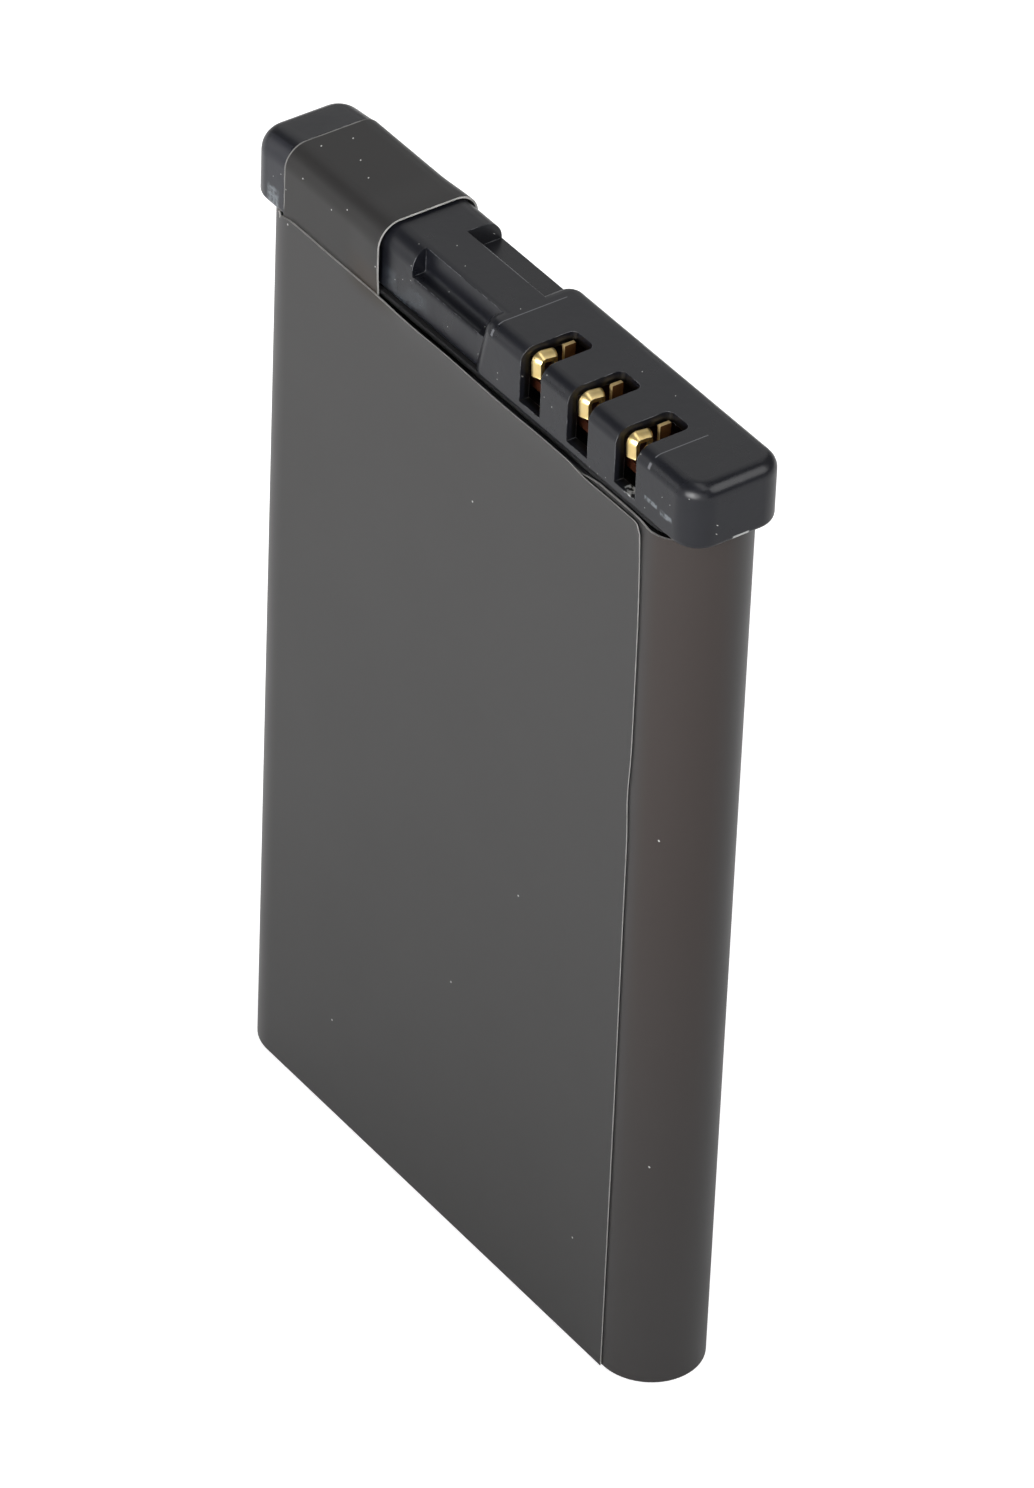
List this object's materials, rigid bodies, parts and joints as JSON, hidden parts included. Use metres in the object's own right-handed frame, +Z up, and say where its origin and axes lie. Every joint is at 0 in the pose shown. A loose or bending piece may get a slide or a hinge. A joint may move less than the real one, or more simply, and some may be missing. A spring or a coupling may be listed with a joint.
{
  "type": "mobile phone battery",
  "caption": "Flat removable lithium-ion phone battery: round-sided cell in a dark film, with a black moulded cap that has rebates, a rib and slots over gold spring contacts.",
  "frame": {"origin": "middle of the cell's flat bottom end", "axes": "+Z up from the bottom end to the cap, +X along the width towards the contacts, -Y out of the front panel with the film's seam"},
  "size_m": [0.0348, 0.0055, 0.0535],
  "materials": {
    "can_aluminium": "drawn, satin",
    "gasket_plastic": "matte",
    "nickel": "satin",
    "pad_foam": "matte foam",
    "fuse_polymer": "matte",
    "board_laminate": "satin lacquer",
    "chip_epoxy": "matte",
    "ceramic": "matte",
    "gold_plate": "bright plate",
    "cap_plastic": "satin moulding",
    "wrap_film": "satin film"
  },
  "bodies": {
    "root": {"cell_can": "can_aluminium", "terminal_gasket": "gasket_plastic", "negative_terminal": "nickel", "fill_plug": "can_aluminium", "cap_pad": "pad_foam", "positive_strip": "nickel", "terminal_strip": "nickel", "thermal_fuse": "fuse_polymer", "fuse_strip": "nickel", "protection_board": "board_laminate", "protection_chip": "chip_epoxy", "switch_transistor": "chip_epoxy", "sense_resistor": "chip_epoxy", "identity_resistor": "chip_epoxy", "filter_capacitor": "ceramic", "contact_negative": "gold_plate", "contact_sense": "gold_plate", "contact_positive": "gold_plate", "top_cap": "cap_plastic", "label_film": "wrap_film"}
  },
  "joints": []
}
